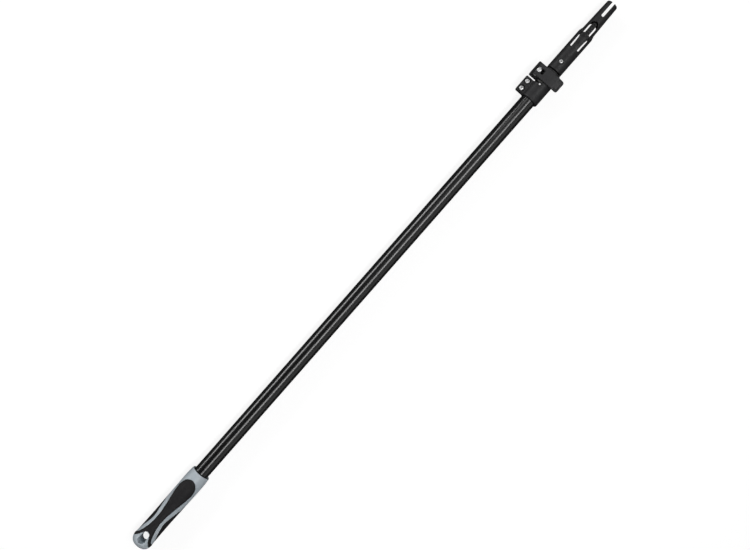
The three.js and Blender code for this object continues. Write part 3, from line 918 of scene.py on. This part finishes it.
def collar_fasteners():
    base = SCREW["seat_z"] + GAP
    for x, place, turn in zip(SCREW["xs"], ("lower", "upper"), (24, 61)):
        made = screw(x, SCREW["y"], LOWER_EAR["back"] + 0.4, base, SCREW["r"], SCREW["head_r"],
                     SCREW["height"], thread_end=1, recess_turn=turn)
        clamp_piece(made, f"collar_screw_{place}", "zinc_steel")
        z0 = LOWER_EAR["back"]
        made = nut(x, SCREW["y"], z0, z0 + NUT["height"])
        clamp_piece(made, f"collar_nut_{place}", "zinc_steel")
    r0, r1, r = TUBE_R - TUBE_WALL + 0.1, CLAMP["r"] - 0.4, RIVET["r"]
    profile = [(r0, 0), (r0, r), (r1 - 0.5, r), (r1 - 0.2, r - 0.15), (r1, r - 0.6), (r1, 0.5), (r1 - 0.2, 0)]
    rivet = solid(leaning(upright(profile, RIVET["x"], 0), RIVET["angle"]))
    clamp_piece(rivet, "collar_rivet", "zinc_steel")


def jaw_liner():
    x0, x1 = UPPER_EAR["x0"] + 0.8, CLAMP["length"] - 1.6
    outline = rounded([(x0, BODY_BORE - GAP, 0.3), (x1, BODY_BORE - GAP, 0.3), (x1, INNER_R + GAP, 0.3),
                       (x0, INNER_R + GAP, 0.3)], 3)
    half = EAR["split"] / 2
    liner = cut(solid(turned(outline)), block(0, CLAMP["length"], 0, FAR, -half, half))
    clamp_piece(liner, "jaw_liner", "nylon")


def lever_section(lower=0.0):
    """The lever's outline across the pole: a plate with a finger tab, and a cam at its pivot."""
    tab_y, top, under = LEVER["tab_y"], LEVER["top"], LEVER["under"]
    cam_y, cam_z = PIVOT["y"] - CAM["offset"], PIVOT["z"] - CAM["offset"]
    tab_top, tab_corner = (tab_y + 0.8, top - 2.9), (tab_y + 0.2, top - 3.1)
    parts = [
        [(14, top), (-4, top)],
        bezier((-4, top), (-14, top), (-20, top - 1.2), tab_top, 24)[1:],
        bezier(tab_top, tab_corner, (tab_y, top - 3.5), (tab_y, top - 4), 6)[1:],
        bezier((tab_y, top - 5.6), (tab_y, top - 6), (tab_y + 0.4, top - 6.4), (tab_y + 1.2, top - 6.2), 6),
        bezier((tab_y + 1.2, top - 6.2), (-19, under - 1.6), (-13, under), (-4, under), 20)[1:],
        [(10, under), (12.6, 13)],
        arc(cam_y, cam_z, CAM["r"], 195, 440, 60),
    ]
    return np.vstack([np.array(p, float) for p in parts]) - [0, lower]


def tab_bead():
    """A cutter for the groove that leaves a bead round the finger tab's edge."""
    x0, x1, tab_y, corner = LEVER["x0"], LEVER["x1"], LEVER["tab_y"], LEVER["corner"]
    outer = slab(tab_outline(x0 + 1.7, x1 - 1.7, -15, tab_y + 1.7, corner - 0.9), 0, FAR)
    inner = slab(tab_outline(x0 + 3, x1 - 3, -14, tab_y + 3, corner - 1.4), -1, FAR + 1)
    ring = cut(solid(outer), inner, block(0, FAR, -16.2, 0, -1, FAR + 1))
    return cut(ring, bar_along_x(lever_section(0.8), 0, FAR))


def pivot_rod(x0, x1, r):
    return moved(turned([(x0, 0), (x0, r - 0.3), (x0 + 0.3, r), (x1 - 0.3, r), (x1, r - 0.3), (x1, 0)],
                        SMALL_SIDES), 0, PIVOT["y"], PIVOT["z"])


def clamp_lever():
    x0, x1 = LEVER["x0"], LEVER["x1"]
    half_slot = BOLT["slot"] / 2
    plan = slab(tab_outline(x0, x1, FAR, LEVER["tab_y"], LEVER["corner"]), 0, FAR)
    lever = inside(solid(bar_along_x(lever_section(), x0, x1)), plan)
    slot = slab(rounded([
        (BOLT["x"] - half_slot, BOLT["slot_end"], 1), (BOLT["x"] + half_slot, BOLT["slot_end"], 1),
        (BOLT["x"] + half_slot, FAR, 0), (BOLT["x"] - half_slot, FAR, 0),
    ]), 0, FAR)
    lever = cut(lever, slot, pivot_rod(-1, CLAMP["length"], PIVOT["r"] + GAP), tab_bead())
    lever = moulded(lever, 0.3, 3)
    clamp_piece(lever, "clamp_lever", "black_lever", body="lever", sharp=60)


def barrel_pin():
    """The lever's pivot. A flat seats the bolt's head, and a waist keeps the pin out of sight beside it."""
    x, y, z, p = BOLT["x"], PIVOT["y"], PIVOT["z"], BARREL_PIN
    hole = peg(x, y, -FAR, FAR, BOLT["r"] + GAP)
    pin = solid(pivot_rod(LEVER["x0"] + p["inset"], LEVER["x1"] - p["inset"], PIVOT["r"]))
    boss = peg(x, y, -FAR, FAR, BOLT["head_r"] - 0.2)
    web = block(x - 5, x + 5, y - p["web_half"], y + p["web_half"], -FAR, z - p["web_top"])
    waist = cut(solid(block(x - p["waist_half"], x + p["waist_half"], 0, FAR, -FAR, FAR)), boss, web)
    flat = block(x - p["flat_half"], x + p["flat_half"], 0, FAR, z + p["flat"], FAR)
    clamp_piece(cut(pin, waist, flat, hole), "barrel_pin", "zinc_steel")


def cam_pad():
    """The wear plate under the lever's cam, with a cut-out round the bolt."""
    c, x, base, half = CAM_PAD, BOLT["x"], UPPER_EAR["front"] + GAP, BOLT["slot"] / 2 + GAP
    x0, x1, y0, y1 = c["x0"], c["x1"], c["y0"], c["y1"]
    plate = slab(rounded([(x0, y0, 1), (x1, y0, 1), (x1, y1, 1), (x0, y1, 1)]), base, base + c["height"])
    pad = cut(solid(plate), block(x - half, x + half, 0, y1 - 1.5, 0, FAR))
    clamp_piece(pad, "cam_pad", "zinc_steel")


def tension_bolt():
    """The bolt that the lever pulls the jaw shut with, and its washer and nut."""
    x, y = BOLT["x"], PIVOT["y"]
    seat = PIVOT["z"] + BARREL_PIN["flat"] + GAP
    bolt = screw(x, y, BOLT["end"], seat, BOLT["r"], BOLT["head_r"], BOLT["height"], thread_end=-4, edge=0.9)
    clamp_piece(bolt, "tension_bolt", "zinc_steel")

    top = UPPER_EAR["back"] - GAP
    low, r, hole_r = top - WASHER["height"], WASHER["r"], BOLT["r"] + GAP
    washer = rounded([(low, hole_r, 0.15), (low, r, 0.25), (top, r, 0.25), (top, hole_r, 0.15)], 3)
    clamp_piece(solid(upright(washer, x, y, 64)), "tension_washer", "zinc_steel")
    nut_top = low - GAP
    clamp_piece(nut(x, y, nut_top - NUT["height"], nut_top), "tension_nut", "zinc_steel")


# ---- tip ----


def tip_piece(obj, name, slot, body="inner_section", **more):
    finished(obj, name, body, slot, along=TIP_START, **more)


def window_outline():
    """The window in the front and back walls that the latch arm lies in."""
    w, waist_x, nose_x = WINDOW, WINDOW["waist_x"], WINDOW["nose_x"]
    side = spline([
        (waist_x - 12, w["root"]), (waist_x - 6, w["root"] + 0.1), (waist_x, w["waist"]),
        (waist_x + 4, w["waist"] - 0.6), (nose_x, w["nose"]), (nose_x + 6, w["nose"]),
    ], 40)
    root = bezier((w["x0"], 5.8), (w["x0"], 7.2), (w["x0"] + 1, w["root"]), (w["x0"] + 3, w["root"]), 8)
    end = arc(w["x1"] - w["nose"], 0, w["nose"], 90, 0, 24)
    return mirrored(np.vstack([[(w["x0"], 0)], root, side, end]))


def arm_root():
    """The wall that the arm springs from: it stands into the window's foot, so the two have no seam."""
    return block(WINDOW["x0"] - 1, WINDOW["x0"] + 2.2, -ARM["root"] + 0.05, ARM["root"] - 0.05, -FAR, FAR)


def tip_profile():
    """The tip's section along the pole: neck, base, shoulder and prongs outside, then the socket inside."""
    t, length = TIP, TIP["length"]
    return [
        (NECK["start"], NECK["r"]), (NECK["end"], NECK["r"]), (NECK["end"] + 0.2, t["base_r"] - 0.5),
        (NECK["end"] + 0.7, t["base_r"]), (t["shoulder_x"], t["base_r"]), (t["neck_x"], t["neck_r"]),
        (length - 1, t["end_r"]), (length, t["end_r"] - 0.8), (length, 6.6), (t["neck_x"], 8.2),
        (t["shoulder_x"], 10.2), (t["socket"], 10.2), (t["socket"], INNER_R + GAP),
        (NECK["start"], INNER_R + GAP),
    ]


def tip_body():
    width = END_SLOT["width"] / 2
    bottom = END_SLOT["bottom"] + width
    slot = joined(solid(block(bottom, FAR + TIP["length"], -width, width, -FAR, FAR)),
                  peg(bottom, 0, -FAR, FAR, width))
    window = cut(solid(slab(window_outline(), -FAR, FAR)), arm_root())
    hole = leaning(peg(TIP_SCREW["x"], 0, 5, FAR, SCREW["r"] + GAP), TIP_SCREW["angle"])
    seat_r = TIP["base_r"] - TIP_SCREW["seat_depth"]
    seat = leaning(peg(TIP_SCREW["x"], 0, seat_r, FAR, TIP_SCREW["seat_r"]), TIP_SCREW["angle"])
    body = cut(solid(turned(tip_profile(), 144)), window, slot, hole, seat)
    body = moulded(body, 0.48, 3)
    tip_piece(body, "tip_body", "black_tip", sharp=60)
    # The neck is coloured near-black as painted shade for the gap's shadow.
    paint_shade_on_neck(body)


def paint_shade_on_neck(body):
    """Gives the faces of the tip's neck the near-black material of painted shade, which stands for the shadow
    in the gap at the clamp's mouth.
    """
    body.data.materials.append(MATERIALS["neck_painted_shade"])
    neck_end = ORIGIN.x + (TIP_START + NECK["end"] + 0.1) / 1000
    for face in body.data.polygons:
        face.material_index = int(face.center.x < neck_end)


def thumb_outline(pad):
    """The latch arm's thumb pad from above: it widens to a round end of half width pad."""
    x, end, root = ARM["pad_x"], ARM["pad_end"], ARM["root"]
    widening = pad - root
    half = spline([
        (end, 0), (end - 0.3, 2.6), (end - 1.5, pad - 2.5), (x + 2, pad - 0.9), (x - 0.5, pad),
        (x - 3, pad - widening * 0.3), (x - 7, pad - widening * 0.65), (x - 14, root + widening * 0.12),
        (WINDOW["x0"], root - 0.1), (WINDOW["x0"] - 2, root - 0.4),
    ], 56)
    return np.vstack([half, (half * [1, -1])[:0:-1]])


def thumb_section():
    """The thumb pad's section along the pole. Its root comes out of the tip's wall at a shallow angle."""
    r, proud, root, x0, x1 = TIP["base_r"], ARM["proud"], WINDOW["x0"], ARM["pad_x"], ARM["pad_end"] + 1
    return [
        (root - 1.9, r - 0.25), (root + 1.5, r + 0.03), (x0 - 13, r + 0.05), (x0 - 7, r + 0.25),
        (x0 - 2, r + proud * 0.85), (x0 + 2, r + proud), (x1, r + proud * 0.7), (x1, 8.2), (x0 - 3, 10.4),
        (root - 1.9, 10.4),
    ]


def nose():
    """The narrow end of the latch arm. A gap parts it from the thumb pad, down to a link below both."""
    start, end, half = ARM["nose_start"], ARM["nose_end"], ARM["nose"]
    section = turned([(start, 10.9), (end, 10.3), (end, 7.6), (start, 8.2)], 160)
    plan = np.vstack([[(start, -half)], arc(end - half, 0, half, -90, 90, 32), [(start, half)]])
    link = block(ARM["pad_x"] - 2, start + 3, -half + 1, half - 1, 6.3, 9)
    return joined(inside(solid(section), slab(plan, 3, FAR)), link)


def groove(x, r, width, depth):
    """A ring cutter that leaves a groove across the arm."""
    return turned([(x - width / 2, r - depth), (x - width / 2, FAR), (x + width / 2, FAR),
                   (x + width / 2, r - depth)], 96)


def latch_arm(pad):
    """A latch arm whose thumb pad has half width pad, with grooves across the pad and the nose."""
    arm = joined(inside(solid(turned(thumb_section(), 160)), slab(thumb_outline(pad), 3, FAR)), nose())
    n, t, r = NOSE_GROOVES, THUMB_GROOVES, TIP["base_r"]
    low_xs, high_xs = (np.arange(*t[key], t["pitch"]) for key in ("low_xs", "high_xs"))
    thumb = [groove(x, r + 0.05, t["width"], t["depth"]) for x in low_xs]
    thumb += [groove(x, r + 0.6, t["width"], t["depth"]) for x in high_xs]
    ribs = [groove(x, n["r"], n["width"], n["depth"]) for x in n["xs"]]
    return moulded(cut(arm, *thumb, *ribs), 0.27, 2)


def latch_arms():
    # Light passes beside the back arm's pad in the photograph, so that pad is slimmer.
    for side, sign, pad in (("front", 1, ARM["pad"]), ("back", -1, ARM["root"] + 0.2)):
        arm = latch_arm(pad)
        if sign < 0:
            arm.data.transform(Matrix.Rotation(math.pi, 4, "X"))
        tip_piece(arm, f"latch_arm_{side}", "black_tip", body=None, sharp=60)
        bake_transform(arm)


def tip_screw():
    base = TIP["base_r"] - TIP_SCREW["seat_depth"] + GAP
    made = screw(TIP_SCREW["x"], 0, 8.5, base, SCREW["r"], TIP_SCREW["head_r"], TIP_SCREW["height"],
                 recess_turn=0, recess=1.7, edge=0.6)
    made.data.transform(Matrix.Rotation(math.radians(-TIP_SCREW["angle"]), 4, "X"))
    tip_piece(made, "tip_screw", "zinc_steel")


# ---- studio, in metres ----

STUDIO_R = 9
FLOOR_GLOW = 0.84  # how bright the floor and backdrop are on their own
FLOOR_GREYS, BACKDROP_GREYS = (0.24, 0.27), (0.05, 0.06)
WORLD_GLOW = 0.05
# Each strip light's start, end, width and radiance.
STRIPS = {
    "left_strip": ((-1.3, 1.83, 0.83), (1.1, 1.68, 1.11), 0.42, 7.8),
    "right_strip": ((-1.0, -0.3, 1.0), (0.95, -0.445, 1.0), 0.24, 6.5),
    "right_fill": ((-1.8, -2.05, 0.95), (1.8, -2.05, 0.95), 1.8, 0.34),
    "overhead": ((0.1, 0, 2.4), (2.7, 0, 2.4), 2.2, 0.25),
    "tip_box": ((1.05, 1.0, 1.75), (2.1, 1.0, 1.75), 0.8, 1.3),
    "low_right": ((-1.8, -2.4, 0.3), (1.8, -2.4, 0.3), 0.5, 0.25),
    "end_box": ((2.5, -0.7, 0.6), (2.5, 0.7, 0.6), 0.6, 0.6),
}
CAMERA_AT = (-0.0008, -0.0001, 1.467)
CAMERA_TURN = -48.71  # degrees, so that the pole lies across the picture as in the photograph
SENSOR_WIDTH, LENS = 36, 43.69  # millimetres


def glowing(name, greys):
    """A plain material that glows, so that it stays nearly white round the object."""
    material = bpy.data.materials.new(name)
    material.use_nodes = True
    tree = material.node_tree
    shader = tree.nodes["Principled BSDF"]
    where = node(tree, "ShaderNodeTexCoord").outputs["Object"]
    ends = [(grey, grey, grey, 1) for grey in greys]
    tree.links.new(mixed(tree, noise(tree, where, 3), *ends), shader.inputs["Base Color"])
    shader.inputs["Roughness"].default_value = 0.9
    shader.inputs["Emission Color"].default_value = (1, 1, 1, 1)
    shader.inputs["Emission Strength"].default_value = FLOOR_GLOW
    return material


def studio():
    """A pale floor just under the object, and a pale backdrop all round."""
    under = (0, 0, -0.0005)
    bpy.ops.mesh.primitive_circle_add(vertices=96, radius=STUDIO_R, fill_type="NGON", location=under)
    floor = bpy.context.object
    floor.name = "floor"
    floor.data.materials.append(glowing("floor", FLOOR_GREYS))
    bpy.ops.mesh.primitive_uv_sphere_add(segments=64, ring_count=32, radius=STUDIO_R - 0.1)
    backdrop = bpy.context.object
    backdrop.name = "backdrop"
    backdrop.data.materials.append(glowing("backdrop", BACKDROP_GREYS))
    floor.visible_diffuse = backdrop.visible_diffuse = backdrop.visible_shadow = False
    floor.visible_glossy = backdrop.visible_glossy = False


def strip_light(name, start, end, width, radiance):
    """A long soft light from start to end that faces the object. Its power follows from its radiance."""
    a, b = Vector(start), Vector(end)
    middle, along = (a + b) / 2, b - a
    light = bpy.data.lights.new(name, "AREA")
    light.shape = "RECTANGLE"
    light.size, light.size_y = along.length, width
    light.energy = radiance * math.pi * light.size * light.size_y * math.pi / 4
    obj = bpy.data.objects.new(name, light)
    bpy.context.scene.collection.objects.link(obj)
    x_axis = along.normalized()
    back = (middle - x_axis * middle.dot(x_axis)).normalized()
    y_axis = back.cross(x_axis)
    turn = Matrix((x_axis, y_axis, back)).transposed()
    obj.matrix_world = Matrix.Translation(middle) @ turn.to_4x4()
    obj.visible_camera = False


def lights():
    for name, strip in STRIPS.items():
        strip_light(name, *strip)
    world = bpy.data.worlds.new("studio")
    world.use_nodes = True
    background = world.node_tree.nodes["Background"]
    background.inputs["Color"].default_value = (1, 1, 1, 1)
    background.inputs["Strength"].default_value = WORLD_GLOW
    bpy.context.scene.world = world


def camera():
    data = bpy.data.cameras.new("camera")
    data.sensor_width = SENSOR_WIDTH
    data.lens = LENS
    obj = bpy.data.objects.new("camera", data)
    obj.location = CAMERA_AT
    obj.rotation_euler = (0, 0, math.radians(CAMERA_TURN))
    bpy.context.scene.collection.objects.link(obj)
    bpy.context.scene.camera = obj
    bpy.context.scene.view_settings.view_transform = "Standard"


camera()
studio()
lights()
handle_core()
grip_pads()
tubes()
guide_bush()
clamp_body()
collar_fasteners()
jaw_liner()
clamp_lever()
barrel_pin()
cam_pad()
tension_bolt()
tip_body()
latch_arms()
tip_screw()
